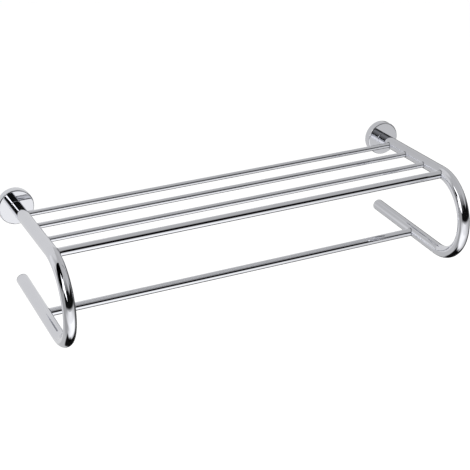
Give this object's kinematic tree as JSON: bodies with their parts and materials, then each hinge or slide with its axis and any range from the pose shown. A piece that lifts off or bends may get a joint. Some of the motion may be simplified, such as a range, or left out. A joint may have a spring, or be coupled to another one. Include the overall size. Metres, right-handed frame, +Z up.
{
  "type": "towel rack with shelf",
  "caption": "Wall rack of chromed round tube: a shelf of parallel bars between two U-bent side arms, over one towel rail, on round rosettes.",
  "frame": {"origin": "on the wall plane, midway between the two arms, at the height of the upper legs' centrelines", "axes": "+X along the bars, +Y into the wall, +Z up"},
  "size_m": [0.652, 0.252, 0.1609],
  "materials": {
    "arm_chrome": "polished chrome plate on bent tube",
    "bar_chrome": "polished chrome plate on drawn bar",
    "rosette_chrome": "polished chrome plate on a turned cup",
    "bracket_steel": "zinc plated, dull",
    "fastener_steel": "zinc plated screws and washers",
    "foot_brass": "turned brass",
    "bumper_nylon": "grey nylon, matt"
  },
  "bodies": {
    "root": {"arm_left": "arm_chrome", "arm_right": "arm_chrome", "rosette_left": "rosette_chrome", "rosette_right": "rosette_chrome", "shelf_bar_rear": "bar_chrome", "shelf_bar_middle": "bar_chrome", "shelf_bar_front": "bar_chrome", "front_bar": "bar_chrome", "towel_rail": "bar_chrome", "wall_bracket_left": "bracket_steel", "wall_bracket_right": "bracket_steel", "arm_foot_left": "foot_brass", "arm_foot_right": "foot_brass", "arm_bolt_left": "fastener_steel", "arm_bolt_right": "fastener_steel", "bolt_washer_left": "fastener_steel", "bolt_washer_right": "fastener_steel", "set_screw_left": "fastener_steel", "set_screw_right": "fastener_steel", "leg_bumper_left": "bumper_nylon", "leg_bumper_right": "bumper_nylon"}
  },
  "joints": []
}
